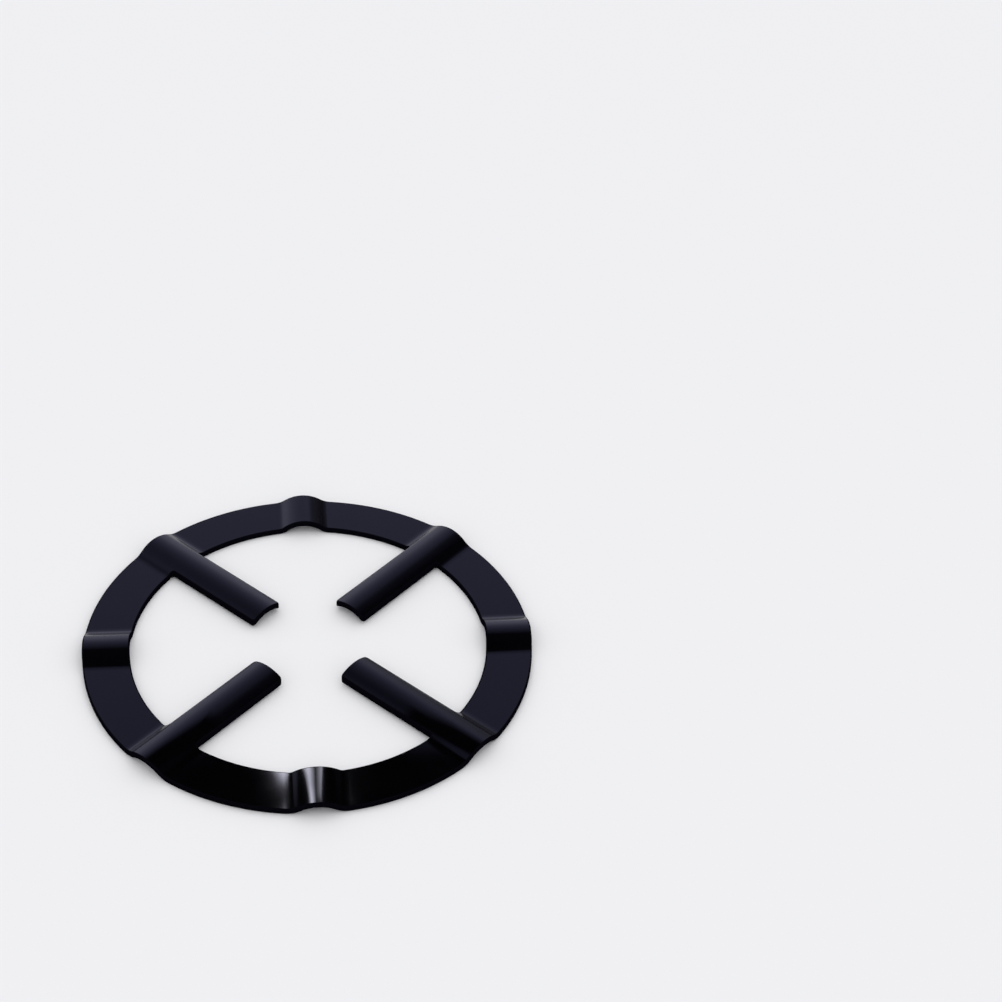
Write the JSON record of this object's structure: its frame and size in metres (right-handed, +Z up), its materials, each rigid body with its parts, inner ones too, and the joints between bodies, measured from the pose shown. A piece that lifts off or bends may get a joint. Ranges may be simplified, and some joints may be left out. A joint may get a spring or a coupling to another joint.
{
  "type": "stove reducer ring",
  "caption": "Flat pressed-sheet ring with raised radial ridges and arched arms that reach inwards to carry a small pot over a gas burner.",
  "frame": {"origin": "the ring's centre, on the surface that the underside of its flats lies on", "axes": "+Z up through the ring's centre; the plain ridges stand on the X and Y axes and the arms point inwards along the diagonals"},
  "size_m": [0.145, 0.145, 0.0049],
  "materials": {
    "black_coating": "satin"
  },
  "bodies": {
    "root": {"reducer_ring": "black_coating"}
  },
  "joints": []
}
